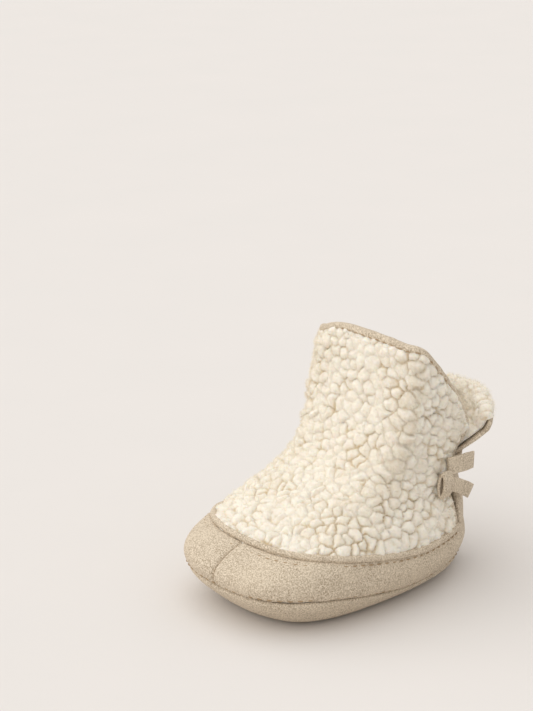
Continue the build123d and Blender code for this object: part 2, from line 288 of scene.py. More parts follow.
def layer(outside, inside, ring=False, rims=(True, True)):
    """Points and faces of a layer of cloth between its outer and inner grids of points. rims says
    whether its first and its last row are closed from one to the other."""
    rows, columns = outside.shape[:2]
    index = np.arange(rows * columns).reshape(rows, columns)
    if ring:
        index = np.concatenate([index, index[:, :1]], 1)
    quads = np.stack([index[:-1, :-1], index[:-1, 1:], index[1:, 1:], index[1:, :-1]], -1).reshape(-1, 4)
    edges = []
    if rims[0]:
        edges.append(index[0, ::-1])
    if rims[1]:
        edges.append(index[-1])
    if not ring:
        edges += [index[:, 0], index[::-1, -1]]
    under = rows * columns
    walls = [np.stack([edge[:-1], edge[1:], edge[1:] + under, edge[:-1] + under], -1) for edge in edges]
    faces = np.concatenate([quads, quads[:, ::-1] + under] + walls)
    return np.concatenate([outside.reshape(-1, 3), inside.reshape(-1, 3)]), faces.tolist()


# Microfibre suede: a fine polyester cloth sanded until its ends stand up in a short nap. It is
# quite matt and flecked where the nap lies one way or the other, and pale where it is seen edge on
beige_suede, place = new_material("beige_suede")
fleck = add(beige_suede, "ShaderNodeTexNoise", {
    "Vector": place, "Scale": 1 / (0.50 * MM), "Detail": 3, "Roughness": 0.65})
brushed = add(beige_suede, "ShaderNodeTexNoise", {
    "Vector": place, "Scale": 1 / (11 * MM), "Detail": 4, "Roughness": 0.55, "Distortion": 0.6})
fleck_share = add(beige_suede, "ShaderNodeMapRange", {
    "Value": fleck.outputs["Fac"], "From Min": 0.37, "From Max": 0.63})
fleck_colour = add(beige_suede, "ShaderNodeMix", {
    0: fleck_share.outputs["Result"], 6: linear("#9A8972"), 7: linear("#E4D6C1")}, data_type="RGBA")
brushed_share = add(beige_suede, "ShaderNodeMapRange", {
    "Value": brushed.outputs["Fac"], "From Min": 0.35, "From Max": 0.68, "To Max": 0.35})
suede_colour = add(beige_suede, "ShaderNodeMix", {
    0: brushed_share.outputs["Result"], 6: fleck_colour.outputs[2], 7: linear("#DCCDB6")},
    data_type="RGBA")
nap = add(beige_suede, "ShaderNodeTexNoise", {
    "Vector": place, "Scale": 1 / (0.30 * MM), "Detail": 2, "Roughness": 0.7})
nap_bump = add(beige_suede, "ShaderNodeBump", {
    "Height": nap.outputs["Fac"], "Strength": 0.55, "Distance": 0.10 * MM})
fleck_bump = add(beige_suede, "ShaderNodeBump", {
    "Height": fleck.outputs["Fac"], "Strength": 0.6, "Distance": 0.22 * MM,
    "Normal": nap_bump.outputs["Normal"]})
coat(beige_suede, {
    "Base Color": suede_colour.outputs[2], "Roughness": 0.92, "Specular IOR Level": 0.15,
    "Sheen Weight": 0.22, "Sheen Roughness": 0.45, "Sheen Tint": linear("#F3E4D2"),
    "Normal": fleck_bump.outputs["Normal"]})

SOLE_THICKNESS = 1.3
SOLE_TUCK = 1.0
COLUMNS = 360
UNDERSIDE_ROWS, SIDE_ROWS = 21, 26
round_the_foot = np.linspace(-2, 2, COLUMNS, endpoint=False)
sole_seam = along_seam(round_the_foot, SOLE_SEAM)
side_heights, _, from_seam = strip(lambda heights: np.broadcast_to(round_the_foot, heights.shape),
                                   np.zeros(COLUMNS), sole_seam, SIDE_ROWS)
sole_side = on_form(round_the_foot, side_heights, 0.15 + tucked(from_seam, SOLE_TUCK, 1.7))
sole_side[..., 2] = np.maximum(sole_side[..., 2], 0)
keel = sole_side[0] * (0, 0.55, 0)
underside = [keel + (sole_side[0] - keel) * share
             for share in np.linspace(0, 1, UNDERSIDE_ROWS, endpoint=False) ** 0.8]
sole_grid = np.concatenate([np.array(underside), sole_side])
ripple = 0.12 * soft_noise(sole_grid, 9, 3) + 0.07 * soft_noise(sole_grid, 4, 4)
ripple *= np.clip(sole_grid[..., 2] / (2 * MM), 0, 1)
sole_grid += facing(sole_grid, True) * ripple[..., None] * MM
sole_grid[..., 2] = np.maximum(sole_grid[..., 2], 0)
inner_sole = sole_grid - facing(sole_grid, True) * SOLE_THICKNESS * MM
new_piece("outsole_suede", *layer(sole_grid, inner_sole, True, (False, True)),
          beige_suede, "shoe", "suede", ["outsole"])

# ---------------------------------------------------------------------------------------------
# Side bands: two strips of the same suede over wadding, sewn together at the toe and at the
# heel. They are stuffed, so they swell between their seams and pucker a little beside them.
BAND_THICKNESS = 1.2
BAND_TUCK = 1.3


def puckers(points, distance, pitch, seed):
    """Short folds in mm that stitches leave across a seam, fading with the distance from it."""
    wave = soft_noise(points, pitch * 0.6, seed) + 0.6 * soft_noise(points, pitch * 1.4, seed + 1)
    return 0.16 * wave * np.exp(-(distance / 3.2) ** 2)


def band_half(name, side, node):
    """One half of the band, on the side of +1 or -1."""
    columns = 190
    ahead = np.linspace(0.0, 1.0, columns)
    around = side * 2 * ahead
    low = along_seam(around, SOLE_SEAM)
    high = along_seam(around, BAND_TOP)
    heights, up, down = strip(lambda tall: np.broadcast_to(around, tall.shape), low, high, 56)
    ground = form(around, heights)
    girth = np.concatenate([[0], np.cumsum(np.linalg.norm(np.diff(ground, axis=1), axis=-1)
                                           .mean(0))]) / MM
    from_toe, from_heel = girth, girth[-1] - girth
    swell = np.sin(np.pi * up / (up + down)) ** 0.8
    out = -0.35 + 0.75 * swell
    out += tucked(up, BAND_TUCK, 2.0) + tucked(down, BAND_TUCK, 2.2)
    out += tucked(from_toe, 0.9, 1.6) + tucked(from_heel, 0.9, 1.6)
    out += 0.28 * soft_noise(ground, 15, 11) + 0.13 * soft_noise(ground, 6, 12)
    out += puckers(ground, np.minimum(up, down), 3.4, 13)
    out += puckers(ground, np.minimum(from_toe, from_heel), 3.4, 15)
    outside = on_form(around, heights, out)
    inside = on_form(around, heights, out - BAND_THICKNESS)
    piece = new_piece(name, *layer(outside, inside), beige_suede, "shoe", "suede", [node])
    return piece


band_half("band_suede_right", 1, "side_band_right")
band_half("band_suede_left", -1, "side_band_left")

# ---------------------------------------------------------------------------------------------
# Piping: a narrow folded strip of suede caught in the seam between band and front panel, from
# one slit round the toe to the other.
REAR_EDGE = np.array([(32.1, 20.0), (28.8, 31.5), (28.5, 43.0), (35.1, 49.0), (41.1, 55.0)])


def smooth_through(knots, at):
    """A smooth curve through knots (value, place) read at places, level with its first knots."""
    places = knots[:, 1]
    slope = np.gradient(knots[:, 0], places)
    step = np.clip(np.searchsorted(places, at, "right") - 1, 0, len(places) - 2)
    gap = places[step + 1] - places[step]
    way = np.clip((at - places[step]) / gap, 0, 1)
    rise = way * way * (3 - 2 * way)
    return (knots[step, 0] + (knots[step + 1, 0] - knots[step, 0]) * rise
            + slope[step] * gap * way * (1 - way) ** 2
            - slope[step + 1] * gap * way * way * (1 - way))


def around_where(y, height):
    """How far round the form a place is, from its y in mm and its height, on the + side."""
    low, high = np.zeros(np.shape(height)), np.full(np.shape(height), 2.0)
    for _ in range(40):
        middle = (low + high) / 2
        behind = form(middle, height)[..., 1] / MM > y
        low, high = np.where(behind, low, middle), np.where(behind, middle, high)
    return (low + high) / 2


def slit_around(height):
    """How far round the form the front panel's rear edge runs, at heights in mm."""
    return around_where(smooth_through(REAR_EDGE, height), np.asarray(height, float))


def sweep(spine, out, section):
    """Points and faces of a strip along a spine. section has for each point of the spine the
    same number of (out, side) places in mm; its two ends are drawn together."""
    side = unit(np.cross(np.gradient(spine, axis=0), out))
    section = np.broadcast_to(section, (len(spine),) + np.shape(section)[-2:])
    rings = (spine[:, None] + out[:, None] * section[..., :1] * MM + side[:, None] * section[..., 1:] * MM)
    first, last = rings[:1].mean(1, keepdims=True), rings[-1:].mean(1, keepdims=True)
    grid = np.concatenate([np.broadcast_to(first, rings[:1].shape), rings,
                           np.broadcast_to(last, rings[:1].shape)])
    rows, columns = grid.shape[:2]
    index = np.arange(rows * columns).reshape(rows, columns)
    index = np.concatenate([index, index[:, :1]], 1)
    quads = np.stack([index[:-1, :-1], index[:-1, 1:], index[1:, 1:], index[1:, :-1]], -1)
    return grid.reshape(-1, 3), quads.reshape(-1, 4).tolist()


def rounded(half_out, half_side, squareness=2.6, count=20):
    """A section's outline: an oval that is the squarer the larger squareness is."""
    angle = np.linspace(0, 2 * np.pi, count, endpoint=False)
    return np.stack([half_out * np.sign(np.cos(angle)) * np.abs(np.cos(angle)) ** (2 / squareness),
                     half_side * np.sign(np.sin(angle)) * np.abs(np.sin(angle)) ** (2 / squareness)], -1)


PIPING_HALF = (1.75, 1.25)
slit_foot = slit_around(np.array([BAND_TOP[1]]))[0]
piping_around = np.linspace(-slit_foot, slit_foot, 420)
piping_height = along_seam(piping_around, BAND_TOP) + 0.45
piping_spine = on_form(piping_around, piping_height, -0.95)
piping_out = unit(on_form(piping_around, piping_height, 1.0) - form(piping_around, piping_height))
uneven = 1 + 0.10 * soft_noise(piping_spine, 2.2, 21) + 0.08 * soft_noise(piping_spine, 5, 22)
new_piece("vamp_piping_suede",
          *sweep(piping_spine, piping_out, rounded(*PIPING_HALF) * uneven[:, None, None]),
          beige_suede, "shoe", "suede", ["vamp_piping"])

# ---------------------------------------------------------------------------------------------
# Front panel: vamp and shaft in one piece of sherpa, a knitted cloth whose curly polyester pile
# is felted into small lumps. It is sewn in at the piping and bound along its free edge.
CORNER_HEIGHT = 55.0
TOPLINE = np.array([(41.1, 55.0), (22.5, 79.4), (6.3, 97.0)])   # y and height in mm
PANEL_ROWS, PANEL_COLUMNS = 236, 372
PILE_TALL = 3.1
BACKING = 3.9                   # the knitted back of the sherpa, in from the form
CURL_SPACING = 4.5
EDGE_REACH = 3.0                # how far in from its free edge the cloth is thinner


def panel_around(share):
    """The course of the front panel's columns: share is -1 and 1 at its rear edges."""
    def around_at(heights):
        return share * slit_around(np.minimum(heights, CORNER_HEIGHT))
    return around_at


def topline_y(height):
    """The y in mm of the topline, in a side view, at heights in mm."""
    return np.polyval(np.polyfit(TOPLINE[:, 1], TOPLINE[:, 0], 2), height)


def panel_top(share):
    """The heights at which the front panel's columns meet the topline."""
    heights = np.linspace(CORNER_HEIGHT - 1, TOPLINE[-1, 1], 500)[:, None]
    course = panel_around(share)(heights * np.ones_like(share))
    room_left = topline_y(heights) - form(course, heights)[..., 1] / MM
    room_left[-1] = -1
    first = np.argmax(room_left <= 0, axis=0)
    inner_shoulder = np.clip((-share - 0.10) / 0.30, 0, 1) * np.clip((1 + share) / 0.35, 0, 1)
    side_share = np.clip((np.abs(share) - 0.30) / 0.45, 0, 1)
    return (heights[first, 0] - 3.0 * inner_shoulder ** 1.5
            - 4.2 * (1 - side_share * side_share * (3 - 2 * side_share)))


def curl_centres(points, weights, spacing, seed):
    """Places for curls, at random but never close together."""
    chance = np.random.default_rng(seed)
    tries = chance.choice(len(points), 16000, p=weights / weights.sum())
    kept = np.empty((0, 3))
    for place_tried in points[tries]:
        gap = spacing * MM * chance.uniform(0.62, 1.18)
        if not len(kept) or np.min(np.sum((kept - place_tried) ** 2, 1)) > gap * gap:
            kept = np.vstack([kept, place_tried])
    return kept


def lumps(points, centres, spacing, tall, seed):
    """A felted pile over points: its height in mm, one rounded lump for each centre, pressed
    against its neighbours; and how far each point is from the nearest fold, in mm."""
    chance = np.random.default_rng(seed)
    bent = points / MM + np.stack([0.95 * soft_noise(points, 3.2, seed + axis)
                                   + 0.40 * soft_noise(points, 1.3, seed + 5 + axis)
                                   for axis in range(3)], -1)
    nearest, second = np.full(len(points), 1e3), np.full(len(points), 1e3)
    level = np.zeros(len(points))
    for centre in centres / MM:
        long_way, stretch = unit(chance.normal(size=3)), chance.uniform(0.0, 0.55)
        reach, raised = chance.uniform(-0.45, 0.45), chance.uniform(-0.5, 0.5)
        offset = bent - centre
        near = np.flatnonzero(np.einsum("ij,ij->i", offset, offset) < (2.6 * spacing) ** 2)
        offset = offset[near]
        away = np.sqrt((offset ** 2).sum(1) - stretch * (offset @ long_way) ** 2) - reach
        is_first = away < nearest[near]
        second[near] = np.where(is_first, nearest[near], np.minimum(second[near], away))
        level[near] = np.where(is_first, raised, level[near])
        nearest[near] = np.minimum(nearest[near], away)
    fold = (second - nearest) / 2
    swell = np.sqrt(1 - (1 - np.minimum(fold / 1.9, 1)) ** 2)
    joined = np.clip(0.5 + 0.9 * soft_noise(points, 5.0, seed + 20), 0, 1)
    foot = 0.30 + 0.40 * joined
    crown = 0.7 * np.clip(nearest / spacing, 0, 1) ** 2
    height = tall * (foot + (1 - foot) * swell) - crown + level * swell
    height = (height + 0.22 * swell * soft_noise(points, 1.7, seed + 21)
              + 0.10 * soft_noise(points, 0.8, seed + 22))
    return height, fold + 0.45 * joined + 0.15 * soft_noise(points, 1.3, seed + 23)


def fibres(name, points, normals, count, length, seed, material, body):
    """Fine bent fibres standing out of a pile, as thin ribbons."""
    chance = np.random.default_rng(seed)
    root = chance.integers(0, len(points), count)
    lean = unit(chance.normal(size=(count, 3)))
    ahead = unit(normals[root] + lean * chance.uniform(0.35, 1.1, (count, 1)))
    curl = unit(np.cross(ahead, chance.normal(size=(count, 3))))
    width = chance.uniform(0.045, 0.085, (count, 1)) * MM
    long = length * MM * chance.uniform(0.45, 1.15, (count, 1))
    flat = unit(np.cross(ahead, curl + 0.3 * lean))
    start = points[root] - normals[root] * 0.25 * MM
    rows = []
    for share in (0.0, 0.4, 0.75, 1.0):
        at = start + ahead * long * share + curl * long * 0.55 * share ** 2
        rows += [at - flat * width * (1 - 0.7 * share), at + flat * width * (1 - 0.7 * share)]
    grid = np.stack(rows, 1)
    first = np.arange(count)[:, None] * 8
    quads = np.concatenate([first + np.array([at, at + 1, at + 3, at + 2]) for at in (0, 2, 4)])
    mesh = bpy.data.meshes.new(name)
    mesh.from_pydata(grid.reshape(-1, 3).tolist(), [], quads.tolist())
    mesh.shade_smooth()
    mesh.materials.append(material)
    piece = bpy.data.objects.new(name, mesh)
    bpy.context.scene.collection.objects.link(piece)
    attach(piece, body)
    return piece


# Sherpa: polyester pile, crimped, cut and tumbled into curls. It is soft and lets light in, so
# its lumps glow a little. The tan in the folds between them is painted shade, for the light lost there
curly_sherpa, place = new_material("curly_sherpa")
# Painted shade: where fold_distance is small, in the folds between lumps, the pile is mixed towards tan
depth = add(curly_sherpa, "ShaderNodeAttribute", attribute_name="fold_distance")
painted_fold_shade_share = add(curly_sherpa, "ShaderNodeMapRange", {
    "Value": depth.outputs["Fac"], "From Min": -0.05, "From Max": 0.55}, interpolation_type="SMOOTHSTEP")
tuft = add(curly_sherpa, "ShaderNodeTexNoise", {
    "Vector": place, "Scale": 1 / (6 * MM), "Detail": 3, "Roughness": 0.6})
tuft_colour = add(curly_sherpa, "ShaderNodeMix", {
    0: tuft.outputs["Fac"], 6: linear("#F1E8D8"), 7: linear("#FAF5EA")}, data_type="RGBA")
# The pile's own cream tones, darkened to tan in the folds as painted shade
pile_colour_and_fold_shade = add(curly_sherpa, "ShaderNodeMix", {
    0: painted_fold_shade_share.outputs["Result"], 6: linear("#DDC8A2"), 7: tuft_colour.outputs[2]},
    data_type="RGBA")
crimp = add(curly_sherpa, "ShaderNodeTexNoise", {
    "Vector": place, "Scale": 1 / (0.42 * MM), "Detail": 3, "Roughness": 0.7, "Distortion": 1.2})
crimp_bump = add(curly_sherpa, "ShaderNodeBump", {
    "Height": crimp.outputs["Fac"], "Strength": 0.7, "Distance": 0.30 * MM})
tuft_swirl = add(curly_sherpa, "ShaderNodeTexNoise", {
    "Vector": place, "Scale": 1 / (1.5 * MM), "Detail": 2, "Roughness": 0.6, "Distortion": 1.6})
tuft_bump = add(curly_sherpa, "ShaderNodeBump", {
    "Height": tuft_swirl.outputs["Fac"], "Strength": 0.7, "Distance": 0.5 * MM,
    "Normal": crimp_bump.outputs["Normal"]})
coat(curly_sherpa, {
    "Base Color": pile_colour_and_fold_shade.outputs[2], "Roughness": 0.95, "Specular IOR Level": 0.1,
    "Sheen Weight": 0.35, "Sheen Roughness": 0.6, "Sheen Tint": linear("#FFF8EC"),
    "Subsurface Weight": 0.30, "Subsurface Radius": (1.0, 0.75, 0.5), "Subsurface Scale": 1.6 * MM,
    "Normal": tuft_bump.outputs["Normal"]})

# Loose fibres of the same polyester, so fine that they show as a pale haze round the lumps
sherpa_fibre, place = new_material("sherpa_fibre")
fibre_tone = add(sherpa_fibre, "ShaderNodeTexNoise", {"Vector": place, "Scale": 1 / (3 * MM)})
fibre_colour = add(sherpa_fibre, "ShaderNodeMix", {
    0: fibre_tone.outputs["Fac"], 6: linear("#EADFCB"), 7: linear("#F7F1E4")}, data_type="RGBA")
coat(sherpa_fibre, {"Base Color": fibre_colour.outputs[2], "Roughness": 0.8,
                    "Specular IOR Level": 0.2, "Sheen Weight": 0.3})

share = np.linspace(-1, 1, PANEL_COLUMNS)
panel_low = along_seam(share * slit_foot, BAND_TOP) + 0.5
panel_heights, from_seam, from_top = strip(panel_around(share), panel_low, panel_top(share), PANEL_ROWS)
panel_course = panel_around(share)(panel_heights)
ground = on_form(panel_course, panel_heights, PILE_TALL * -0.86)
normals = facing(ground)
steps = np.linalg.norm(np.diff(ground, axis=1), axis=-1) / MM
from_left = np.concatenate([np.zeros((PANEL_ROWS, 1)), np.cumsum(steps, 1)], 1)
from_side = np.minimum(from_left, from_left[:, -1:] - from_left)
cell = np.linalg.norm(np.cross(np.gradient(ground, axis=0), np.gradient(ground, axis=1)), axis=-1)
centres = curl_centres(ground.reshape(-1, 3), cell.ravel(), CURL_SPACING, 31)
pile, fold = lumps(ground.reshape(-1, 3), centres, CURL_SPACING, PILE_TALL, 32)
pile, fold = pile.reshape(cell.shape), fold.reshape(cell.shape)
pile += 0.10 * soft_noise(ground, 1.1, 41) + 0.45 * soft_noise(ground, 14, 42)
edge = np.minimum(np.minimum(from_seam + 1.2, from_top), from_side)
pile *= np.sqrt(np.clip(edge / 2.4, 0.02, 1))
downward = -unit(np.gradient(ground, axis=0))
sideways = unit(np.gradient(ground, axis=1)) * np.sign(share)[None, :, None]
lean = (downward * 0.75 * np.exp(-(from_seam / 2.5) ** 2)[..., None]
        - downward * 0.35 * np.exp(-(from_top / 2.0) ** 2)[..., None]
        + sideways * 0.35 * np.exp(-(from_side / 2.0) ** 2)[..., None])
pile_direction = unit(normals + lean)
outside = ground + pile_direction * pile[..., None] * MM
thinned = np.exp(-(np.minimum(from_top, from_side) / EDGE_REACH) ** 2)
inside = on_form(panel_course, panel_heights, 1.2 * thinned - BACKING)
new_piece("front_panel_sherpa", *layer(outside, inside), curly_sherpa, "shoe", "sherpa", ["front_panel"],
          fold)
fibres("front_panel_fibres", outside.reshape(-1, 3), facing(outside).reshape(-1, 3), 60000, 1.2,
       51, sherpa_fibre, "shoe")

# ---------------------------------------------------------------------------------------------
# Foot lining: brushed cotton cloth inside the band and behind the front panel. It is glued to
# the wadding and caught in the seams, and turns under the binding at the free edge.
LINING_IN = (4.3, 5.4)

# Brushed cotton: a plain weave with its surface scratched up, so it is matt and a little nubbly
cotton_cloth, place = new_material("cotton_cloth")
nubs = add(cotton_cloth, "ShaderNodeTexNoise", {
    "Vector": place, "Scale": 1 / (0.9 * MM), "Detail": 3, "Roughness": 0.6})
cloth_colour = add(cotton_cloth, "ShaderNodeMix", {
    0: nubs.outputs["Fac"], 6: linear("#D2C5AF"), 7: linear("#EDE4D4")}, data_type="RGBA")
nub_bump = add(cotton_cloth, "ShaderNodeBump", {
    "Height": nubs.outputs["Fac"], "Strength": 0.6, "Distance": 0.25 * MM})
coat(cotton_cloth, {
    "Base Color": cloth_colour.outputs[2], "Roughness": 0.95, "Specular IOR Level": 0.1,
    "Sheen Weight": 0.25, "Normal": nub_bump.outputs["Normal"]})

LINING_FOOT = 5.8               # it starts on the foam
LINING_COLUMNS, LINING_ROWS = 240, 44
lining_around = np.linspace(-2, 2, LINING_COLUMNS, endpoint=False)
lining_heights, _, _ = strip(lambda tall: np.broadcast_to(lining_around, tall.shape),
                             np.full(LINING_COLUMNS, LINING_FOOT), along_seam(lining_around, BAND_TOP),
                             LINING_ROWS)
lining_ground = form(lining_around, lining_heights)
nub = 0.22 * soft_noise(lining_ground, 2.2, 61) + 0.12 * soft_noise(lining_ground, 1.1, 62)
new_piece("foot_lining_lower",
          *layer(on_form(lining_around, lining_heights, -LINING_IN[0]),
                 on_form(lining_around, lining_heights, nub - LINING_IN[1]), True),
          cotton_cloth, "shoe", "lining_cloth", ["foot_lining"])

EVERY = (slice(None, None, 4), slice(None, None, 3))    # the cloth is smoother than the pile
to_edge = thinned[EVERY]
panel_nub = 0.22 * soft_noise(ground[EVERY], 2.2, 63) + 0.12 * soft_noise(ground[EVERY], 1.1, 64)
new_piece("foot_lining_upper",
          *layer(on_form(panel_course[EVERY], panel_heights[EVERY],
                         1.2 * to_edge - LINING_IN[0]),
                 on_form(panel_course[EVERY], panel_heights[EVERY],
                         1.6 * to_edge + panel_nub - LINING_IN[1])),
          cotton_cloth, "shoe", "lining_cloth")

# ---------------------------------------------------------------------------------------------
# Footbed: a thin pad in the same cotton, laid loose on the sole's foam and crowned by its filling.
FOOTBED_UNDER, FOOTBED_THICK = 5.65, 1.5
FOOTBED_IN = 5.9                # its edge, in from the form
footbed_around = np.linspace(-2, 2, 200, endpoint=False)
footbed_edge = on_form(footbed_around, FOOTBED_UNDER + 0.8, -FOOTBED_IN) * (1, 1, 0)
footbed_keel = footbed_edge * (0, 0.6, 0)
share_out = np.linspace(0, 1, 40)[:, None, None]
footbed_plan = footbed_keel + (footbed_edge - footbed_keel) * share_out ** 0.85
crown = FOOTBED_THICK * np.sqrt(1 - 0.96 * share_out[..., 0] ** 6)
crown = crown + 0.10 * soft_noise(footbed_plan, 7, 71) * (1 - share_out[..., 0])
footbed_top = footbed_plan + np.stack([0 * crown, 0 * crown, crown + FOOTBED_UNDER], -1) * MM
footbed_base = footbed_plan + np.array([0, 0, FOOTBED_UNDER]) * MM
footbed = new_piece("footbed_cotton", *layer(footbed_top, footbed_base, True, (False, True)),
                    cotton_cloth, "shoe", "lining_cloth", ["footbed"])

# ---------------------------------------------------------------------------------------------
# Topline binding: a strip of suede folded over the front panel's free edge, from one slit over
# the top to the other, and sewn through.
BINDING_HALF = (1.8, 1.5)
BINDING_IN = 2.3
BINDING_STEP = 0.5


def even_path(points, out, step):
    """A line of points and its outward directions, smoothed and made even."""
    along = np.concatenate([[0], np.cumsum(np.linalg.norm(np.diff(points, axis=0), axis=1))])
    at = np.linspace(0, along[-1], int(along[-1] / (step * MM)))
    both = np.stack([np.interp(at, along, column) for column in np.hstack([points, out]).T], 1)
    reach = 4
    padded = np.concatenate([np.repeat(both[:1], reach, 0), both, np.repeat(both[-1:], reach, 0)])
    both = np.stack([np.convolve(column, np.ones(2 * reach + 1) / (2 * reach + 1), "valid")
                     for column in padded.T], 1)
    return both[:, :3], unit(both[:, 3:])


rim_course = np.concatenate([panel_course[:, -1], panel_course[-1, ::-1], panel_course[::-1, 0]])
rim_heights = np.concatenate([panel_heights[:, -1], panel_heights[-1, ::-1], panel_heights[::-1, 0]])
rim_facing = unit(on_form(rim_course, rim_heights, 1.0) - form(rim_course, rim_heights))
rim_spine, rim_out = even_path(on_form(rim_course, rim_heights, -BINDING_IN), rim_facing, BINDING_STEP)
rim_uneven = 1 + 0.07 * soft_noise(rim_spine, 3, 81) + 0.07 * soft_noise(rim_spine, 7, 82)
new_piece("topline_binding_suede",
          *sweep(rim_spine, rim_out, rounded(*BINDING_HALF, 2.4) * rim_uneven[:, None, None]),
          beige_suede, "shoe", "suede", ["topline_binding"])

# ---------------------------------------------------------------------------------------------
# Heel panel: suede, cut separately and sewn to the band only along its foot, so that it folds
# back. Its top flares, and the tie draws it in.
SLIT = 1.8
HEEL_FOOT, HEEL_TOP = 20.5, 60.0
HEEL_SUEDE = 1.6
FLARE, PINCH = 3.2, 1.1
TIE_HEIGHT = 43.0
HEEL_HALF_GIRTH = 40.0          # about, from the middle of the heel to a slit
HEEL_COLUMNS = 170


def heel_course(across, heights):
    """The course of the heel panel's columns: across is 1 at its outer edge and -1 at its inner."""
    gape = 2.4 * np.exp(-((heights - 31) / 6.5) ** 2)
    front_edge = smooth_through(REAR_EDGE, np.minimum(heights, CORNER_HEIGHT))
    edge = around_where(front_edge + SLIT + gape, heights)
    around = 2 - np.abs(across) * (2 - edge)
    return np.where(across < 0, -around, around)


def heel_out(across, heights):
    """How far the heel panel's outside stands out from the form, in mm."""
    lift = np.clip((heights - TIE_HEIGHT - 2) / (HEEL_TOP - TIE_HEIGHT), 0, 1.3)
    flare = FLARE * lift ** 1.5 * (0.8 + 0.35 * across ** 2) + 5.2 * np.clip(1.6 * lift, 0, 1) * across ** 4
    gather = np.exp(-((heights - TIE_HEIGHT) / 5) ** 2)
    crease = 0.35 * np.sin(across * 23 + 1.0) * np.exp(-(np.abs(heights - TIE_HEIGHT) / 7) ** 2)
    return flare - PINCH * gather + crease


heel_across = np.linspace(1, -1, HEEL_COLUMNS)[None, :]
heel_heights = np.linspace(HEEL_FOOT, HEEL_TOP, 96)[:, None] + 0 * heel_across
round_corner = 2.5 * np.clip((np.abs(heel_across) - 0.86) / 0.14, 0, 1) ** 2
heel_heights -= round_corner * (heel_heights - HEEL_FOOT) / (HEEL_TOP - HEEL_FOOT)
heel_around = heel_course(heel_across, heel_heights)
heel_ground = form(heel_around, heel_heights)
heel_bulge = heel_out(heel_across, heel_heights) + 0.25 * soft_noise(heel_ground, 11, 91)
heel_bulge += 0.10 * soft_noise(heel_ground, 4, 92)
from_end = np.minimum(HEEL_TOP - heel_heights, heel_heights - HEEL_FOOT) + 0.2
heel_edge = np.minimum((1 - np.abs(heel_across)) * HEEL_HALF_GIRTH, from_end)
heel_bulge += tucked(np.clip(heel_edge, 0, None), 0.5, 0.9)
heel_panel = new_piece("heel_panel_suede",
                       *layer(on_form(heel_around, heel_heights, heel_bulge),
                              on_form(heel_around, heel_heights, heel_bulge - HEEL_SUEDE)),
                       beige_suede, None, "suede", ["back_panel"])
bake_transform(heel_panel)

# ---------------------------------------------------------------------------------------------
# Heel lining: the same sherpa behind the heel panel. Its pile is not bound at the top but left to
# stand up over the edge as a soft roll.
ROLL = 2.0                      # half the thickness of the cloth and its pile
PILE_TOP = 59.3                 # where the pile begins to turn over the top
HIDDEN_ROWS, TURN_ROWS, PILE_ROWS = 40, 20, 110

# The lining's course in section: up behind the suede, over the top and down the inside
lining_foot = HEEL_FOOT + 0.3
up_leg = np.linspace(lining_foot, PILE_TOP, HIDDEN_ROWS)
turn = np.linspace(0, np.pi, TURN_ROWS + 2)[1:-1]
down_leg = np.linspace(PILE_TOP, lining_foot, PILE_ROWS)
profile_height = np.concatenate([up_leg, PILE_TOP + 1.35 * ROLL * np.sin(turn), down_leg])[:, None]
profile_in = np.concatenate([np.ones(HIDDEN_ROWS), np.cos(turn), -np.ones(PILE_ROWS)])[:, None]
side_room = np.sqrt(np.clip(1 - np.abs(heel_across) ** 14, 0, 1))
lining_corner = 1.8 * np.clip((np.abs(heel_across) - 0.80) / 0.2, 0, 1) ** 2
lining_tall = profile_height - lining_corner * (profile_height - HEEL_FOOT) / (HEEL_TOP - HEEL_FOOT)
heel_lining_around = heel_course(heel_across * 0.99, lining_tall)
lining_out = heel_out(heel_across, lining_tall) - HEEL_SUEDE - ROLL - 0.1 + ROLL * profile_in * side_room
heel_pile_ground = on_form(heel_lining_around, lining_tall, lining_out)
heel_normals = facing(heel_pile_ground)
flat_ground = heel_pile_ground.reshape(-1, 3)
heel_cell = np.linalg.norm(np.cross(np.gradient(heel_pile_ground, axis=0),
                                    np.gradient(heel_pile_ground, axis=1)), axis=-1)
heel_centres = curl_centres(flat_ground, heel_cell.ravel(), CURL_SPACING, 95)
heel_pile, heel_fold = lumps(flat_ground, heel_centres, CURL_SPACING, 2.4, 96)
heel_pile, heel_fold = heel_pile.reshape(heel_cell.shape), heel_fold.reshape(heel_cell.shape)
behind_suede = (profile_in > 0.9) & (lining_tall < HEEL_TOP + 0.2)
standing = np.where(behind_suede, 0.02, 1.0) * np.clip(side_room, 0.02, 1)
standing = standing * np.clip((lining_tall - HEEL_FOOT) / 3, 0.02, 1)
heel_pile_out = heel_pile_ground + heel_normals * (heel_pile * standing)[..., None] * MM
lining_index = np.arange(heel_cell.size).reshape(heel_cell.shape)
lining_index = np.concatenate([lining_index, lining_index[:1]])
lining_faces = np.stack([lining_index[:-1, :-1], lining_index[:-1, 1:], lining_index[1:, 1:],
                         lining_index[1:, :-1]], -1).reshape(-1, 4).tolist()
heel_lining = new_piece("heel_lining_sherpa", heel_pile_out, lining_faces, curly_sherpa, None, "sherpa",
                        ["back_lining"], heel_fold)
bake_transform(heel_lining)
top_only = (lining_tall > HEEL_TOP - 14) & ~behind_suede
fibres("heel_lining_fibres", heel_pile_out[top_only], facing(heel_pile_out)[top_only], 9000,
       1.6, 97, sherpa_fibre, "heel_flap")

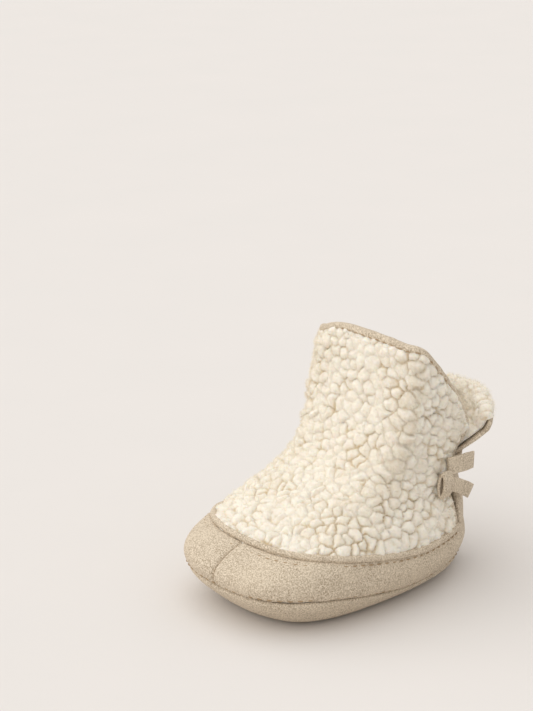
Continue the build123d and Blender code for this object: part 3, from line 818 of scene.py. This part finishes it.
# ---------------------------------------------------------------------------------------------
# Tie strap: a flat lace of the same suede round the outside of the heel panel, which draws it in.
LACE_WIDTH, LACE_THICK = 5.5, 1.3
strap_across = np.linspace(1, -1, 140)[None, :]
strap_share = np.linspace(-1, 1, 14)[:, None]
strap_heights = TIE_HEIGHT + LACE_WIDTH / 2 * strap_share + 0 * strap_across
strap_around = heel_course(strap_across, strap_heights)
strap_out = heel_out(strap_across, strap_heights)
strap_out = strap_out + 0.25 * soft_noise(form(strap_around, strap_heights), 9, 101)
strap_out += 0.25 - 0.5 * strap_share ** 6
new_piece("tie_strap_suede",
          *layer(on_form(strap_around, strap_heights, strap_out + LACE_THICK),
                 on_form(strap_around, strap_heights, strap_out - 0.2)),
          beige_suede, "heel_flap", "suede", ["tie_strap"])

# ---------------------------------------------------------------------------------------------
# Knot and tails: the lace is drawn through the front panel's edge and tied in a flat loop, and
# its two cut ends stand out behind the knot.
LOOP_CENTRE = np.array([29.6, 21.6, 39.8])
LOOP_AXIS = unit(np.array([0.22, -0.97, 0.06]))
LOOP_LONG, LOOP_HALF, LOOP_HOLE = 5.4, (1.9, 5.1), (0.75, 3.7)

loop_up = unit(np.array([0.0, 0.06, 1.0]) - LOOP_AXIS * LOOP_AXIS[2])
loop_out = unit(np.cross(loop_up, LOOP_AXIS))
loop_share = np.linspace(0.5, -0.5, 16)[:, None]


def loop_ring(half, squareness):
    """The rings of a flat tube along the loop's axis, in metres."""
    outline = rounded(half[0], half[1], squareness, 64)[None]
    narrow = 1 - 0.10 * (2 * np.abs(loop_share)) ** 4
    rings = (LOOP_CENTRE + LOOP_AXIS * LOOP_LONG * loop_share[..., None]
             + loop_out * outline[..., :1] * narrow[..., None]
             + loop_up * outline[..., 1:] * narrow[..., None])
    return (rings + 0.10 * soft_noise(rings * MM, 4, 111)[..., None] * loop_out) * MM


loop_outside, loop_inside = loop_ring(LOOP_HALF, 2.1), loop_ring(LOOP_HOLE, 2.0)
new_piece("tie_knot_suede", *layer(loop_outside, loop_inside, True), beige_suede, "shoe", "suede",
          ["tie_knot"])


def tail(name, node, body, start, end, width, droop):
    """One cut end of the lace, from the knot to its end, both in mm."""
    start, end = np.array(start), np.array(end)
    way = np.linspace(0, 1, 40)[:, None]
    spine = start + (end - start) * way + np.array([0, 0, 1]) * droop * way * (1 - way) * 4
    spine = spine + loop_out * 0.8 * way * (1 - way) * 4
    out = np.broadcast_to(unit(np.array([0.95, -0.15, 0.1])), spine.shape)
    section = rounded(LACE_THICK / 2, width / 2, 6.0, 44)
    uneven_tail = 1 + 0.04 * soft_noise(spine * MM, 3, 112)
    return new_piece(name, *sweep(spine * MM, out, section * uneven_tail[:, None, None]), beige_suede, body,
                     "suede", [node])


tail("tie_tail_upper_suede", "tie_tail_upper", "upper_tail", (26.8, 25.4, 45.0),
     (25.0, 39.9, 43.9), 6.4, 0.3)
tail("tie_tail_lower_suede", "tie_tail_lower", "lower_tail", (27.0, 25.4, 39.0),
     (26.0, 37.8, 32.5), 5.4, 0.3)

# ---------------------------------------------------------------------------------------------
# Stitches: waxed polyester thread, two plies twisted, in short lockstitches half sunk in the cloth
STITCH, STITCH_PITCH, THREAD = 2.0, 3.6, 0.5

# Twisted thread: smooth plies, waxed, so it shines a little along each of them
waxed_thread, place = new_material("waxed_thread")
fray = add(waxed_thread, "ShaderNodeTexNoise", {"Vector": place, "Scale": 1 / (0.5 * MM), "Detail": 2})
thread_colour = add(waxed_thread, "ShaderNodeMix", {
    0: fray.outputs["Fac"], 6: linear("#93795A"), 7: linear("#B49C7C")}, data_type="RGBA")
coat(waxed_thread, {"Base Color": thread_colour.outputs[2], "Roughness": 0.6,
                    "Specular IOR Level": 0.3})


def stitch_row(name, spine, out, node, sunk=0.16, pitch=STITCH_PITCH, length=STITCH):
    """A row of separate stitches along a line of points on the cloth."""
    along = np.concatenate([[0], np.cumsum(np.linalg.norm(np.diff(spine, axis=0), axis=1))]) / MM
    points, faces, used = [], [], 0
    for start in np.arange(0.6, along[-1] - length, pitch):
        at = np.linspace(start, start + length, 12)
        line = np.stack([np.interp(at, along, column) for column in spine.T], 1)
        normal = unit(np.stack([np.interp(at, along, column) for column in out.T], 1))
        arch = np.sin(np.linspace(0, np.pi, 12))[:, None] ** 0.5
        line = line + normal * (THREAD * (0.45 * arch - 0.25) - sunk) * MM
        angle = np.linspace(0, 2 * np.pi, 10, endpoint=False)[None]
        ply = 1 + 0.14 * np.cos(2 * angle + np.linspace(0, 9, 12)[:, None])
        section = THREAD / 2 * ply[..., None] * np.stack([np.cos(angle), np.sin(angle)], -1)
        stitch_points, stitch_faces = sweep(line, normal, section * (0.55 + 0.45 * arch[..., None]))
        points.append(stitch_points)
        faces += (np.array(stitch_faces) + used).tolist()
        used += len(stitch_points)
    return new_piece(name, np.concatenate(points), faces, waxed_thread, "shoe", "thread", [node])


def seam_row(name, around, heights, out, node, **options):
    """A row of stitches along the form, standing out from it by out, in mm."""
    spine = on_form(around, heights, out)
    normal = unit(on_form(around, heights, np.asarray(out) + 1.0) - spine)
    return stitch_row(name, spine, normal, node, **options)


LONG_ROW_POINTS, SHORT_ROW_POINTS = 900, 60
ROW_MARGIN = 1.5                # from the seam to the row that holds it
BESIDE_TOE, BESIDE_HEEL = 0.028, 1.975      # how far round the form the two upright rows are

row_around = np.linspace(-1.97, 1.97, LONG_ROW_POINTS)
seam_row("sole_seam_stitches", row_around, along_seam(row_around, SOLE_SEAM) + ROW_MARGIN, 0.0,
         "sole_seam_thread")
row_around = np.linspace(-slit_foot, slit_foot, LONG_ROW_POINTS)
seam_row("vamp_seam_stitches", row_around, along_seam(row_around, BAND_TOP) - ROW_MARGIN, 0.0,
         "vamp_seam_thread")
for name, node, end, beside in (("toe_seam_stitches", "toe_seam_thread", 0, BESIDE_TOE),
                                ("heel_seam_stitches", "heel_seam_thread", 1, BESIDE_HEEL)):
    row_heights = np.linspace(SOLE_SEAM[end] + 1.6, BAND_TOP[end] - 2.0, SHORT_ROW_POINTS)
    seam_row(name, np.full(SHORT_ROW_POINTS, beside), row_heights, 0.15, node)
CORNER_COLUMNS = 20             # the row stops short of the topline's corners
top_row = slice(PANEL_ROWS + CORNER_COLUMNS, PANEL_ROWS + PANEL_COLUMNS - CORNER_COLUMNS)
row_ground = on_form(rim_course[top_row], rim_heights[top_row] - 0.6, BINDING_HALF[0] - BINDING_IN)
row_spine, row_out = even_path(row_ground, rim_facing[top_row], BINDING_STEP)
stitch_row("binding_stitches", row_spine, row_out, "binding_thread")

# ---------------------------------------------------------------------------------------------
# Padding: the foam under the footbed and the wadding behind the band, which stay as they were
# built and are hidden by the cloth on both sides.

# Polyester wadding: loose white fibre, bonded, so its surface is a soft matt tangle
white_wadding, place = new_material("white_wadding")
tangle = add(white_wadding, "ShaderNodeTexNoise", {
    "Vector": place, "Scale": 1 / (1.5 * MM), "Detail": 4, "Roughness": 0.7, "Distortion": 1.0})
wadding_colour = add(white_wadding, "ShaderNodeMix", {
    0: tangle.outputs["Fac"], 6: linear("#DCD8D0"), 7: linear("#F2F0EA")}, data_type="RGBA")
tangle_bump = add(white_wadding, "ShaderNodeBump", {
    "Height": tangle.outputs["Fac"], "Strength": 0.7, "Distance": 0.5 * MM})
coat(white_wadding, {"Base Color": wadding_colour.outputs[2], "Roughness": 0.95,
                     "Normal": tangle_bump.outputs["Normal"]})
for node in ("sole_padding", "band_wadding"):
    padding = bpy.data.objects[node]
    padding.data.materials.clear()
    padding.data.materials.append(white_wadding)
